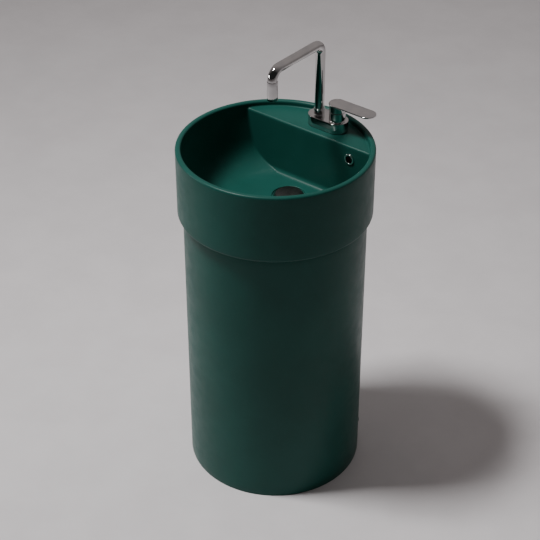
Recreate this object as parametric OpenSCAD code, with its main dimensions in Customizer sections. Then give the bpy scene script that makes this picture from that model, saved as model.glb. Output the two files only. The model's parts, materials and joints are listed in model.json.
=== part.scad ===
// Free-standing round pedestal washbasin with a raised tap deck and a single-lever mixer.
// Origin: centre of the foot on the floor. +Z up, +Y towards the tap deck, -Y towards the user.

/* [Pedestal] */
// Outside diameter of the pedestal
pedestal_d = 417; // [414:0.5:420]
// Height of the pedestal, from the floor to the gasket
pedestal_h = 685; // [640:1:700]
// Wall thickness of the pedestal
pedestal_wall = 10; // [9:0.5:10.5]
// Width of the service opening in the back
hatch_w = 150; // [120:1:160]
// Height of the service opening
hatch_h = 260; // [220:1:300]
// Height of the opening's lower edge above the floor
hatch_z = 90; // [70:1:120]

/* [Basin] */
// Outside diameter of the basin
basin_d = 442; // [440:1:446]
// Height of the basin band
band_h = 162; // [158:1:165]
// Inside radius at the rim
rim_in_r = 208; // [206:0.5:209]
// Depth of the bowl floor below the rim
bowl_depth = 151; // [149:0.5:152]
// Drop from the rim to the tap deck
deck_drop = 13; // [10:0.5:16]
// Distance from the basin axis to the front edge of the deck
deck_y = 115; // [110:1:118]
// Radius of the rounded edges
edge_r = 5; // [4:0.5:5.5]
// Wall thickness of the bowl and the deck
shell_t = 11; // [10:0.5:12]

/* [Drain] */
// Distance from the basin axis to the drain
drain_y = 50; // [44:1:54]
// Diameter of the recess round the drain
recess_d = 78; // [76:1:82]
// Diameter of the click-clack cap
cap_d = 62; // [58:1:64]

/* [Overflow] */
// Sideways place of the overflow in the deck wall
overflow_x = 118; // [110:1:120]
// Depth of the overflow below the rim
overflow_drop = 45; // [42:1:48]

/* [Mixer tap] */
// Distance from the basin axis to the tap
tap_y = 160; // [156:1:162]
// Distance from the spout axis to the lever axis
tap_pitch = 50; // [48:1:52]
// Radius of the rounded ends of the tap base
tap_r = 25.5; // [25:0.5:26.5]
// Height of the tap base with its gasket
tap_h = 26; // [24:1:28]
// Outside diameter of the spout tube
spout_d = 22; // [21:0.5:23]
// Height of the spout arm above the deck
arm_h = 198; // [190:1:205]
// Reach of the spout
reach = 171; // [160:1:180]
// Outside diameter of the turret under the lever
turret_d = 37; // [36:0.5:38]
// Length of the lever plate
lever_l = 121; // [110:1:130]
// Width of the lever plate
lever_w = 40; // [38:1:42]
// Thickness of the lever plate
lever_t = 3.5; // [3:0.25:4]

/* [Hidden] */
$fn = 96;

// Small gaps: between loose pieces, and in a running fit
gap = 0.2;
run = 0.05;
far = 500;

// Levels and radii of the ceramics
rim_z = pedestal_h + 3 + band_h;
basin_r = basin_d / 2;
seat_z = rim_z - band_h;
deck_z = rim_z - deck_drop;
floor_z = rim_z - bowl_depth;
pedestal_r = pedestal_d / 2;
pedestal_in = pedestal_r - pedestal_wall;

// The bowl: an upright lip, a tapered wall and one large round down to the floor
lip_h = 30;
round_r = 80.7;
round_c = 118.4;
round_z = floor_z + round_r;
wall_foot_r = round_c + round_r * cos(11);
wall_foot_z = round_z - round_r * sin(11);
deck_fillet = 12;
under_r = 206;
seat_in_r = 195;
seat_t = 12;

// Drain
recess_h = 4;
flange_z = floor_z - recess_h + 1;
flange_r = 36;
flange_t = 2.2;
tail_r = 20.5;
tail_in = 18.2;
tail_bottom = 625;
spider_z = 664;
cap_z = floor_z + 0.5;
cap_t = 4;
stem_r = 4;

// Trap and outlet
dip_r = 16;
dip_bottom = 430;
trap_top_z = 545;
trap_bottom = 470;
trap_r = 30;
cup_top = 486;
cup_seat = 464;
cup_bottom = 402;
outlet_z = 520;
outlet_bend = 30;
outlet_y = -90;

// Overflow
overflow_z = rim_z - overflow_drop;
duct_y = deck_y + 25;
duct_r = 9;
banjo_z = 657;

// Back plate of the hatch
hatch_corner = 22;
hatch_gap = 1.5;
cover_seat = 6;
rail_t = 2.5;
screw_turns = [-17, 17];

// Floor brackets, at two places hidden behind the object
bracket_turns = [45, 135];
bracket_z = 45;
bracket_foot = 34;
bracket_t = 4;
anchor_r = 4.5;

// Tap base and turret
tap_z = deck_z + 1;
tap_top = deck_z + tap_h;
tap_mid = tap_pitch / 2;
tap_edge = 1;
turret_r = turret_d / 2;
lever_rise = 64.25;
lever_z = deck_z + lever_rise;
dome_rise = 5;
dome_gap = 0.3;
dome_r = norm([turret_r, dome_rise]);
pivot_z = lever_z - 2.8 - dome_r - dome_gap;
split_z = pivot_z + dome_rise;
dome_in = 16.2;
dome_hole = 12.5;
turret_bore = 16;
rotor_r = 9.3;
spindle_r = 3.2;
boss_r = 5.8;
hole_r = 17;
tails = [-11, 11];
tail_pipe_r = 5;
tail_pipe_z = 560;
tail_socket_r = tail_pipe_r + 0.6;
stud_r = 4;
stud_y = -12;
stud_bottom = 790;

// Spout
spout_r = spout_d / 2;
tube_t = 1.5;
arm_z = deck_z + arm_h;
riser_bend = 20;
tip_bend = 23;
tip_drop = 68;
tip_z = arm_z - tip_drop;
sleeve_r = spout_r + 0.9;
sleeve_l = 44;
socket_z = tap_top - 18;
socket_r = spout_r + 2;
collar_h = 14;
collar_r = spout_r + 1.4;

// ---------- helpers ----------

// A solid ring from z0 to z1
module ring(r_out, r_in, z0, z1) {
    translate([0, 0, z0]) difference() {
        cylinder(r = r_out, h = z1 - z0);
        translate([0, 0, -1]) cylinder(r = r_in, h = z1 - z0 + 2);
    }
}

// Cross-section of a disc edge: square below, rounded on top by e
module rounded_top(r, h, e) {
    square([r - e, h]);
    square([r, h - e]);
    translate([r - e, h - e]) circle(r = e);
}

// Cross-section with both edges rounded by e
module rounded_both(r, h, e) {
    square([r - e, h]);
    translate([0, e]) square([r, h - 2 * e]);
    translate([r - e, h - e]) circle(r = e);
    translate([r - e, e]) circle(r = e);
}

// Puts the first child at both ends of a stadium and sweeps its section between them
module stadium(l) {
    rotate_extrude() children(0);
    translate([l, 0, 0]) rotate_extrude() children(0);
    rotate([90, 0, 90]) linear_extrude(l) {
        children(0);
        mirror([1, 0]) children(0);
    }
}

// Points along +Y from the basin axis
module towards_deck() {
    rotate([90, 0, 0]) mirror([0, 0, 1]) children();
}

module rounded_window(w, h, r) {
    for (x = [r, w - r], y = [r, h - r]) translate([x - w / 2, y]) circle(r = r);
    translate([r - w / 2, 0]) square([w - 2 * r, h]);
    translate([-w / 2, r]) square([w, h - 2 * r]);
}

module hex_nut(across, h, bore) {
    difference() {
        cylinder(r = across / sqrt(3), h = h, $fn = 6);
        translate([0, 0, -1]) cylinder(r = bore, h = h + 2);
    }
}

// A straight round bar between two points
module bar(a, b, r) {
    d = b - a;
    translate(a)
        rotate([0, acos(d.z / norm(d)), atan2(d.y, d.x)])
            cylinder(r = r, h = norm(d));
}

// A quarter bend in the YZ plane that starts at the angle start, counted from +Y towards +Z
module quarter_bend(r, bend_r, start) {
    rotate([90, 0, 90]) rotate(start) rotate_extrude(angle = 90) translate([bend_r, 0]) circle(r = r);
}

// ---------- ceramics ----------

// Space inside the lip, above the deck and the bowl
module lip_cut() {
    rotate_extrude() {
        translate([0, deck_z]) square([rim_in_r, far]);
        difference() {
            translate([0, rim_z - edge_r]) square([rim_in_r + edge_r, far]);
            translate([rim_in_r + edge_r, rim_z - edge_r]) circle(r = edge_r);
        }
    }
}

// Space of the round bowl, before the deck closes its back
module bowl_cut() {
    rotate_extrude() {
        polygon([
            [0, floor_z], [round_c, floor_z], [round_c, round_z], [wall_foot_r, wall_foot_z],
            [rim_in_r, rim_z - lip_h], [rim_in_r, rim_z], [0, rim_z]
        ]);
        intersection() {
            translate([round_c, round_z]) circle(r = round_r);
            translate([round_c - 1, floor_z]) square([round_r + 2, round_r]);
        }
    }
}

// Everything in front of the deck wall, with a round where the wall meets the floor
module front_of_deck() {
    rotate([90, 0, 90]) translate([0, 0, -far]) linear_extrude(2 * far) difference() {
        translate([-far, floor_z - 1]) square([far + deck_y, far]);
        difference() {
            translate([deck_y - deck_fillet, floor_z - 2]) square([2 * deck_fillet, deck_fillet + 2]);
            translate([deck_y - deck_fillet, floor_z + deck_fillet]) circle(r = deck_fillet);
        }
    }
}

// Rounds the front edge of the deck
module deck_edge_cut() {
    intersection() {
        rotate([90, 0, 90]) translate([0, 0, -far]) linear_extrude(2 * far) difference() {
            translate([deck_y - 1, deck_z - edge_r]) square([edge_r + 1, edge_r + 1]);
            translate([deck_y + edge_r, deck_z - edge_r]) circle(r = edge_r);
        }
        translate([0, 0, deck_z - 20]) cylinder(r = rim_in_r, h = 40);
    }
}

// Hollow under the deck, open downwards for the tap's tails and the overflow
module deck_hollow() {
    intersection() {
        rotate_extrude() {
            translate([0, seat_z - 1]) square([seat_in_r, seat_t + 2]);
            translate([0, seat_z + seat_t]) square([under_r, deck_z - shell_t - seat_z - seat_t]);
        }
        translate([-far, deck_y + shell_t, 0]) cube([2 * far, far, 2 * far]);
    }
}

// Hollow under the round of the bowl
module bowl_hollow() {
    difference() {
        rotate_extrude() difference() {
            translate([round_c + 10, seat_z - 1]) square([seat_in_r - round_c - 10, round_r]);
            translate([round_c, round_z]) circle(r = round_r + shell_t);
        }
        translate([-far, deck_y - shell_t, 0]) cube([2 * far, far, 2 * far]);
    }
}

module basin() {
    color([0.1, 0.32, 0.28]) difference() {
        translate([0, 0, seat_z]) rotate_extrude() rounded_both(basin_r, band_h, edge_r);
        lip_cut();
        intersection() {
            bowl_cut();
            front_of_deck();
        }
        deck_edge_cut();
        deck_hollow();
        bowl_hollow();
        // drain recess and hole
        translate([0, drain_y, floor_z - recess_h]) cylinder(d = recess_d, h = recess_h + 1);
        translate([0, drain_y, seat_z - 1]) cylinder(r = tail_r + 1.5, h = 20);
        // overflow hole and tap hole
        translate([overflow_x, deck_y - 1, overflow_z]) towards_deck() cylinder(r = 11, h = shell_t + 2);
        translate([tap_mid, tap_y, deck_z - shell_t - 1]) cylinder(r = hole_r, h = shell_t + 2);
    }
}

module pedestal() {
    color([0.1, 0.32, 0.28]) difference() {
        ring(pedestal_r, pedestal_in, 0, pedestal_h);
        hatch_window(0);
        for (a = bracket_turns) rotate(a) translate([pedestal_in - 5, 0, bracket_z])
            rotate([0, 90, 0]) cylinder(r = 4.5, h = 30);
    }
}

module basin_gasket() {
    color([0.12, 0.12, 0.12]) ring(pedestal_r - 2, pedestal_in + 1, pedestal_h, seat_z);
}

// ---------- service hatch ----------

// A window through the back wall, smaller all round by inset
module hatch_window(inset) {
    translate([0, pedestal_in - 40, hatch_z + inset]) towards_deck() linear_extrude(80)
        rounded_window(hatch_w - 2 * inset, hatch_h - 2 * inset, hatch_corner - inset);
}

screw_levels = [hatch_z + 25, hatch_z + hatch_h - 25];

// At each cover screw, with +Z pointing out of the wall and the origin on its inside
module at_cover_screws() {
    for (a = screw_turns, z = screw_levels)
        rotate(90 + a) translate([pedestal_in, 0, z]) rotate([0, 90, 0]) children();
}

module access_cover() {
    color([0.1, 0.32, 0.28]) difference() {
        intersection() {
            ring(pedestal_r, pedestal_in, hatch_z, hatch_z + hatch_h);
            hatch_window(hatch_gap);
        }
        at_cover_screws() {
            translate([0, 0, -5]) cylinder(r = 2.3, h = 30);
            translate([0, 0, cover_seat]) cylinder(r = 4.7, h = 30);
        }
    }
}

// Two curved steel strips behind the cover, bonded to the inside of the wall
module cover_rails() {
    color([0.7, 0.7, 0.72]) difference() {
        for (z = screw_levels) intersection() {
            ring(pedestal_in - gap, pedestal_in - gap - rail_t, z - 10, z + 10);
            translate([-hatch_w / 2 - 14, 0, 0]) cube([hatch_w + 28, far, far]);
        }
        at_cover_screws() translate([0, 0, -10]) cylinder(r = 2.1, h = 30);
    }
}

module cover_screws() {
    shank = 12;
    color([0.75, 0.75, 0.77]) at_cover_screws() difference() {
        union() {
            translate([0, 0, cover_seat - shank]) cylinder(r = 2, h = shank + 1);
            translate([0, 0, cover_seat]) cylinder(r = 4.3, h = 2.4);
        }
        translate([0, 0, cover_seat + 1.2]) cylinder(r = 1.5, h = 2, $fn = 6);
    }
}

// ---------- floor fixings ----------

module at_brackets() {
    for (a = bracket_turns) rotate(a) translate([pedestal_in, 0, 0]) children();
}

module floor_brackets() {
    color([0.72, 0.72, 0.74]) at_brackets() difference() {
        union() {
            translate([-bracket_t - 1, -15, 0]) cube([bracket_t, 30, bracket_z + 16]);
            translate([-bracket_foot - 1, -15, 0]) cube([bracket_foot, 30, bracket_t]);
        }
        translate([-20, 0, bracket_z]) rotate([0, 90, 0]) cylinder(r = 4.5, h = 30);
        translate([-22, 0, -1]) cylinder(r = anchor_r, h = 10);
    }
}

module bracket_bolts() {
    color([0.75, 0.75, 0.77]) at_brackets() translate([0, 0, bracket_z]) rotate([0, 90, 0]) {
        translate([0, 0, -16]) cylinder(r = 4, h = pedestal_wall + 16.2);
        translate([0, 0, pedestal_wall + 0.2]) cylinder(r = 6.2, h = 3);
    }
}

module bracket_nuts() {
    color([0.75, 0.75, 0.77]) at_brackets() translate([-12, 0, bracket_z]) rotate([0, 90, 0])
        hex_nut(13, 6.5, 4.1);
}

module bolt_caps() {
    color([0.1, 0.32, 0.28]) at_brackets() translate([pedestal_wall + 0.2, 0, bracket_z])
        rotate([0, 90, 0]) difference() {
            intersection() {
                cylinder(r = 9, h = 5);
                translate([0, 0, -9.5]) sphere(r = 14.5);
            }
            translate([0, 0, -1]) cylinder(r = 6.4, h = 4.3);
        }
}

// ---------- overflow ----------

module overflow_ring() {
    color([0.8, 0.8, 0.82]) translate([overflow_x, deck_y, overflow_z]) towards_deck() {
        rotate_extrude() difference() {
            translate([0, -2.4]) mirror([0, 1]) translate([0, -2.4]) rounded_top(12.7, 2.4, 1);
            translate([-1, -5]) square([9.8, 20]);
        }
        ring(10.6, 8.8, -0.1, 18);
    }
}

// Moulded pipe from behind the deck wall to a banjo ring on the waste
module overflow_duct() {
    mouth = [overflow_x, duct_y, overflow_z];
    foot = [overflow_x, duct_y, banjo_z];
    entry = [0, drain_y, banjo_z];
    flow = foot - entry;
    dock = entry + flow * (24 / norm(flow));
    inlet_l = duct_y - deck_y - shell_t + duct_r;
    color([0.85, 0.85, 0.83]) difference() {
        union() {
            translate([overflow_x, deck_y + shell_t + gap, overflow_z]) towards_deck()
                cylinder(r = 14, h = inlet_l);
            bar(mouth, foot - [0, 0, duct_r + 1], duct_r);
            bar(foot, dock, duct_r - 1);
            translate([0, drain_y, 0]) ring(26, tail_r + gap, banjo_z - 11, banjo_z + 11);
        }
        translate([overflow_x, deck_y, overflow_z]) towards_deck()
            cylinder(r = 11, h = inlet_l + shell_t - 3);
        bar(mouth, foot - [0, 0, duct_r - 1.5], duct_r - 2);
        bar(foot, entry, duct_r - 3.5);
    }
}

// ---------- waste ----------

module at_drain() {
    translate([0, drain_y, 0]) children();
}

module waste_body() {
    color([0.8, 0.8, 0.82]) at_drain() difference() {
        union() {
            translate([0, 0, flange_z]) rotate_extrude() rounded_top(flange_r, flange_t, 0.9);
            ring(tail_r, tail_in, tail_bottom, flange_z + 0.5);
        }
        translate([0, 0, tail_bottom]) cylinder(r = tail_in, h = 100);
        // slots that take the overflow
        translate([0, 0, banjo_z]) rotate([0, 90, 0]) cylinder(r = 5, h = 60, center = true);
    }
}

module waste_top_gasket() {
    color([0.1, 0.1, 0.1]) at_drain() ring(flange_r - 1, tail_r + 1, floor_z - recess_h, flange_z);
}

module waste_bottom_gasket() {
    color([0.1, 0.1, 0.1]) at_drain() ring(36, tail_r + 0.8, seat_z - 5, seat_z);
}

module waste_washer() {
    color([0.9, 0.9, 0.88]) at_drain() ring(34, tail_r + 0.5, seat_z - 7, seat_z - 5);
}

module waste_nut() {
    color([0.78, 0.62, 0.3]) at_drain() translate([0, 0, seat_z - 15]) hex_nut(54, 8, tail_r + gap);
}

module waste_spider() {
    color([0.78, 0.62, 0.3]) at_drain() difference() {
        union() {
            ring(tail_in - 0.1, tail_in - 2.6, spider_z, spider_z + 6);
            for (a = [0, 120, 240]) rotate(a) translate([0, -1.5, spider_z]) cube([tail_in - 1.5, 3, 6]);
            translate([0, 0, spider_z]) cylinder(r = 8, h = 6);
        }
        translate([0, 0, spider_z - 1]) cylinder(r = stem_r + run, h = 10);
    }
}

// Sealed housing of the push-push mechanism, with a blind bore for the stem
module click_cartridge() {
    color([0.9, 0.9, 0.88]) at_drain() difference() {
        translate([0, 0, spider_z - 26]) cylinder(r = 7, h = 26);
        translate([0, 0, spider_z - 23]) cylinder(r = stem_r + 0.4, h = 30);
    }
}

module waste_stem() {
    color([0.75, 0.75, 0.77]) at_drain() translate([0, 0, spider_z - 22])
        cylinder(r = stem_r, h = cap_z - spider_z + 22);
}

module waste_cap() {
    dome = 220;
    color([0.35, 0.34, 0.33]) at_drain() intersection() {
        translate([0, 0, cap_z]) rotate_extrude() rounded_top(cap_d / 2, cap_t + 2, 1.2);
        translate([0, 0, cap_z + cap_t + 1.6 - dome]) sphere(r = dome, $fn = 200);
    }
}

module waste_cap_seal() {
    color([0.1, 0.1, 0.1]) at_drain() ring(27, 21, flange_z + flange_t + 0.3, cap_z);
}

// ---------- trap ----------

module trap_inlet_nut() {
    ribs = 12;
    color([0.85, 0.85, 0.87]) at_drain() difference() {
        union() {
            ring(26, dip_r + gap, tail_bottom - 14, tail_bottom + 18);
            for (a = [0 : 360 / ribs : 359]) rotate(a) translate([26, 0, tail_bottom - 12])
                cylinder(r = 1.5, h = 28);
        }
        translate([0, 0, tail_bottom - 10]) cylinder(r = tail_r + gap, h = 40);
    }
}

module trap_inlet_seal() {
    color([0.1, 0.1, 0.1]) at_drain() ring(tail_r - 0.3, dip_r + gap, tail_bottom - 10, tail_bottom - 5);
}

module trap_dip_tube() {
    color([0.85, 0.85, 0.87]) at_drain() {
        ring(dip_r, dip_r - 1.6, dip_bottom, tail_bottom - gap);
        ring(tail_r - 0.3, dip_r - 1.6, tail_bottom - 4.8, tail_bottom - gap);
    }
}

module trap_top_nut() {
    color([0.85, 0.85, 0.87]) at_drain() difference() {
        translate([0, 0, trap_top_z + gap]) cylinder(r = 24, h = 20, $fn = 12);
        translate([0, 0, trap_top_z - 1]) cylinder(r = dip_r + gap, h = 30);
        translate([0, 0, trap_top_z - 1]) cylinder(r = 20 + gap, h = 14);
    }
}

module trap_body() {
    color([0.85, 0.85, 0.87]) difference() {
        union() {
            at_drain() translate([0, 0, trap_bottom]) cylinder(r = trap_r, h = trap_top_z - trap_bottom);
            at_drain() translate([0, 0, trap_top_z - 1]) cylinder(r = 20, h = 13);
            translate([0, 6, outlet_z]) towards_deck() cylinder(r = 20, h = 30);
        }
        at_drain() translate([0, 0, trap_bottom - 1])
            cylinder(r = trap_r - 3, h = trap_top_z - trap_bottom - 4);
        at_drain() translate([0, 0, trap_top_z - 10]) cylinder(r = dip_r + gap, h = 40);
        translate([0, 0, outlet_z]) towards_deck() cylinder(r = dip_r + gap, h = drain_y - trap_r + 10);
    }
}

module trap_cup() {
    color([0.85, 0.85, 0.87]) at_drain() difference() {
        union() {
            translate([0, 0, cup_seat - 2]) mirror([0, 0, 1])
                rotate_extrude() rounded_top(trap_r, cup_seat - 2 - cup_bottom, 6);
            ring(trap_r + 4, trap_r - 1, cup_seat - 6, cup_top);
        }
        translate([0, 0, cup_bottom + 4]) cylinder(r = trap_r - 3, h = far);
        translate([0, 0, cup_seat]) cylinder(r = trap_r + gap, h = far);
    }
}

module trap_cup_seal() {
    color([0.1, 0.1, 0.1]) at_drain() ring(trap_r, trap_r - 2.8, cup_seat, trap_bottom - gap);
}

module trap_outlet_nut() {
    color([0.85, 0.85, 0.87]) translate([0, -10, outlet_z]) towards_deck() difference() {
        cylinder(r = 26, h = 28, $fn = 12);
        translate([0, 0, -1]) cylinder(r = dip_r + gap, h = 40);
        translate([0, 0, 12]) cylinder(r = 20 + gap, h = 40);
    }
}

// Pipe path: level out of the trap, one bend, then straight down to the floor
module outlet_path(r) {
    bend_y = outlet_y + outlet_bend;
    translate([0, bend_y, outlet_z]) towards_deck() cylinder(r = r, h = 15 - bend_y);
    translate([0, bend_y, outlet_z - outlet_bend]) quarter_bend(r, outlet_bend, 90);
    translate([0, outlet_y, 0]) cylinder(r = r, h = outlet_z - outlet_bend);
}

module outlet_pipe() {
    color([0.85, 0.85, 0.87]) difference() {
        outlet_path(dip_r);
        outlet_path(dip_r - 1.8);
        translate([0, outlet_y, -1]) cylinder(r = dip_r - 1.8, h = 10);
        translate([0, 10, outlet_z]) towards_deck() cylinder(r = dip_r - 1.8, h = 10);
    }
}

// ---------- tap base ----------

module at_spout() {
    translate([0, tap_y, 0]) children();
}

module at_lever() {
    translate([tap_pitch, tap_y, 0]) children();
}

module tap_body() {
    color([0.8, 0.8, 0.82]) difference() {
        union() {
            at_spout() translate([0, 0, tap_z]) stadium(tap_pitch)
                rounded_top(tap_r, tap_top - tap_z, tap_edge);
            at_lever() translate([0, 0, tap_top - 1]) cylinder(r = turret_r, h = split_z - tap_top + 1);
        }
        at_spout() translate([0, 0, socket_z]) cylinder(r = socket_r, h = 40);
        at_lever() translate([0, 0, tap_top - 2]) cylinder(r = turret_bore, h = 40);
        // waterway from the turret to the spout socket
        translate([0, tap_y, socket_z + 4]) rotate([0, 90, 0]) cylinder(r = 3, h = tap_pitch);
        at_lever() translate([0, 0, socket_z + 1]) cylinder(r = 3, h = 20);
        // sockets for the copper tails and the stud
        for (x = tails) translate([tap_mid + x, tap_y, tap_z - 1]) cylinder(r = tail_socket_r, h = 6);
        translate([tap_mid, tap_y + stud_y, tap_z - 1]) cylinder(r = stud_r + gap, h = 6);
    }
}

module tap_gasket() {
    color([0.1, 0.1, 0.1]) difference() {
        at_spout() translate([0, 0, deck_z]) stadium(tap_pitch) square([tap_r - 0.8, 1]);
        translate([tap_mid, tap_y, deck_z - 1]) cylinder(r = hole_r, h = 3);
    }
}

module mounting_stud() {
    color([0.75, 0.75, 0.77]) translate([tap_mid, tap_y + stud_y, stud_bottom])
        cylinder(r = stud_r, h = tap_z + 4.9 - stud_bottom);
}

// Open washer: a disc with a slot for the tails and a hole for the stud
module horseshoe(z, t) {
    translate([tap_mid, tap_y, z]) difference() {
        cylinder(r = 26, h = t);
        translate([-hole_r, 1 - tail_pipe_r - 2, -1]) cube([2 * hole_r, far, t + 2]);
        translate([0, stud_y, -1]) cylinder(r = stud_r + gap, h = t + 2);
    }
}

module horseshoe_rubber() {
    color([0.1, 0.1, 0.1]) horseshoe(deck_z - shell_t - 3, 3);
}

module horseshoe_plate() {
    color([0.72, 0.72, 0.74]) horseshoe(deck_z - shell_t - 5.5, 2.5);
}

module stud_nut() {
    color([0.78, 0.62, 0.3]) translate([tap_mid, tap_y + stud_y, deck_z - shell_t - 15.5])
        hex_nut(11, 10, stud_r + 0.1);
}

module tail_pipe(x) {
    color([0.72, 0.42, 0.28]) translate([tap_mid + x, tap_y, 0])
        ring(tail_pipe_r, tail_pipe_r - 1, tail_pipe_z, tap_z + 4.8);
}

module hot_tail() {
    tail_pipe(tails[0]);
}

module cold_tail() {
    tail_pipe(tails[1]);
}

// ---------- cartridge and lever ----------

module cartridge_body() {
    color([0.9, 0.9, 0.88]) at_lever() difference() {
        translate([0, 0, tap_top - 1.8]) cylinder(r = turret_bore - 0.2, h = pivot_z - 6 - tap_top + 1.8);
        translate([0, 0, tap_top + 0.5]) cylinder(r = rotor_r + run, h = 40);
    }
}

module cartridge_nut() {
    color([0.78, 0.62, 0.3]) at_lever()
        ring(turret_bore - 0.2, rotor_r + 1.5, pivot_z - 5.9, pivot_z - 1);
}

// Polished ball-shaped cover of the turret
module turret_dome() {
    color([0.8, 0.8, 0.82]) at_lever() difference() {
        union() {
            intersection() {
                translate([0, 0, pivot_z]) difference() {
                    sphere(r = dome_r);
                    sphere(r = dome_in);
                }
                translate([0, 0, split_z]) cylinder(r = turret_r, h = 40);
            }
            ring(turret_bore - 0.2, turret_bore - 2.2, pivot_z - 0.5, split_z + 0.5);
        }
        translate([0, 0, pivot_z]) cylinder(r = dome_hole, h = 40);
    }
}

module cartridge_rotor() {
    color([0.85, 0.86, 0.86]) at_lever() difference() {
        translate([0, 0, tap_top + 0.8]) cylinder(r = rotor_r, h = pivot_z + 4 - tap_top - 0.8);
        translate([-20, -spindle_r - 0.3, pivot_z - 9]) cube([40, 2 * spindle_r + 0.6, 40]);
        translate([0, 0, pivot_z]) rotate([90, 0, 0]) cylinder(r = 1.6, h = 40, center = true);
    }
}

module pivot_pin() {
    color([0.75, 0.75, 0.77]) at_lever() translate([0, 0, pivot_z]) rotate([90, 0, 0])
        cylinder(r = 1.5, h = 17, center = true);
}

module lever_spindle() {
    color([0.75, 0.75, 0.77]) at_lever() difference() {
        translate([0, 0, pivot_z - 6]) cylinder(r = spindle_r, h = lever_z - 1 - pivot_z + 6);
        translate([0, 0, pivot_z]) rotate([90, 0, 0]) cylinder(r = 1.5 + run, h = 40, center = true);
    }
}

module lever_hub() {
    boss_z = pivot_z + 14;
    color([0.8, 0.8, 0.82]) at_lever() difference() {
        union() {
            difference() {
                translate([0, 0, pivot_z]) cylinder(r = turret_r, h = lever_z - pivot_z);
                translate([0, 0, pivot_z]) sphere(r = dome_r + dome_gap);
                translate([0, 0, pivot_z - 1]) cylinder(r = turret_r + 1, h = dome_rise + 1);
            }
            translate([0, 0, boss_z]) cylinder(r = boss_r, h = lever_z - boss_z);
        }
        translate([0, 0, boss_z - 1]) cylinder(r = spindle_r + 0.1, h = lever_z - boss_z + 0.5);
        translate([0, 0, boss_z + 3]) rotate([0, -90, 0]) cylinder(r = 2.1, h = 30);
    }
}

module lever_plate() {
    color([0.8, 0.8, 0.82]) at_lever() translate([0, 0, lever_z]) stadium(lever_l - lever_w)
        rounded_both(lever_w / 2, lever_t, 1.2);
}

module lever_grub_screw() {
    color([0.5, 0.5, 0.52]) at_lever() translate([0, 0, pivot_z + 17]) rotate([0, -90, 0]) difference() {
        translate([0, 0, spindle_r + 0.1]) cylinder(r = 2, h = 3);
        translate([0, 0, spindle_r + 1.5]) cylinder(r = 1, h = 8, $fn = 6);
    }
}

// ---------- spout ----------

// Nut with a polished collar that holds the spout in its socket
module spout_collar() {
    color([0.8, 0.8, 0.82]) at_spout() {
        ring(socket_r - 0.1, spout_r + run, tap_top - 6, tap_top);
        translate([0, 0, tap_top]) rotate_extrude() difference() {
            rounded_top(collar_r, collar_h, 0.6);
            translate([-1, -1]) square([spout_r + run + 1, collar_h + 2]);
        }
    }
}

// Spout path: riser, bend, level arm, bend and tip
module spout_path(r, z0, z1) {
    translate([0, 0, z0]) cylinder(r = r, h = arm_z - riser_bend - z0);
    translate([0, -riser_bend, arm_z - riser_bend]) quarter_bend(r, riser_bend, 0);
    translate([0, tip_bend - reach, arm_z]) towards_deck()
        cylinder(r = r, h = reach - riser_bend - tip_bend);
    translate([0, tip_bend - reach, arm_z - tip_bend]) quarter_bend(r, tip_bend, 90);
    translate([0, -reach, z1]) cylinder(r = r, h = arm_z - tip_bend - z1);
}

module spout_tube() {
    color([0.8, 0.8, 0.82]) at_spout() difference() {
        spout_path(spout_r, socket_z + 1, tip_z + 16);
        spout_path(spout_r - tube_t, socket_z, tip_z + 15);
    }
}

module spout_slide_ring() {
    color([0.9, 0.9, 0.88]) at_spout() ring(socket_r - run, spout_r + 0.1, tap_top - 11, tap_top - 6.5);
}

module spout_o_rings() {
    color([0.1, 0.1, 0.1]) at_spout() for (z = [socket_z + 2, socket_z + 4.2])
        ring(socket_r - run, spout_r + 0.1, z, z + 1.8);
}

module at_tip() {
    translate([0, tap_y - reach, 0]) children();
}

module aerator_sleeve() {
    color([0.8, 0.8, 0.82]) at_tip() translate([0, 0, tip_z]) rotate_extrude() difference() {
        rounded_both(sleeve_r, sleeve_l, 0.6);
        translate([-1, -1]) square([spout_r - 0.6, sleeve_l + 2]);
        translate([-1, 4]) square([spout_r + 0.1 + 1, sleeve_l]);
    }
}

// Mesh disc of the aerator, with a ring of jets
module aerator_insert() {
    color([0.2, 0.2, 0.2]) at_tip() difference() {
        translate([0, 0, tip_z + 4.1]) cylinder(r = spout_r - 0.1, h = 9);
        for (a = [0 : 45 : 359]) rotate(a) translate([6, 0, tip_z]) cylinder(r = 1.1, h = 20);
        translate([0, 0, tip_z]) cylinder(r = 1.1, h = 20);
    }
}

module aerator_washer() {
    color([0.1, 0.1, 0.1]) at_tip() ring(spout_r - 0.1, spout_r - 2.5, tip_z + 13.2, tip_z + 15.8);
}

pedestal();
basin();
basin_gasket();
access_cover();
cover_rails();
cover_screws();
floor_brackets();
bracket_bolts();
bracket_nuts();
bolt_caps();
overflow_ring();
overflow_duct();
waste_body();
waste_top_gasket();
waste_bottom_gasket();
waste_washer();
waste_nut();
waste_spider();
click_cartridge();
waste_stem();
waste_cap();
waste_cap_seal();
trap_inlet_nut();
trap_inlet_seal();
trap_dip_tube();
trap_top_nut();
trap_body();
trap_cup();
trap_cup_seal();
trap_outlet_nut();
outlet_pipe();
tap_body();
tap_gasket();
mounting_stud();
horseshoe_rubber();
horseshoe_plate();
stud_nut();
hot_tail();
cold_tail();
cartridge_body();
cartridge_nut();
turret_dome();
cartridge_rotor();
pivot_pin();
lever_spindle();
lever_hub();
lever_plate();
lever_grub_screw();
spout_collar();
spout_tube();
spout_slide_ring();
spout_o_rings();
aerator_sleeve();
aerator_insert();
aerator_washer();
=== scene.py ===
"""Round pedestal washbasin with a tap deck and a single-lever mixer: looks, light and camera.

Lengths in the shape code are millimetres in the object's frame (+Z up, deck at +Y).
to_object() turns them into metres.
"""
import json
import math

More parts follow.
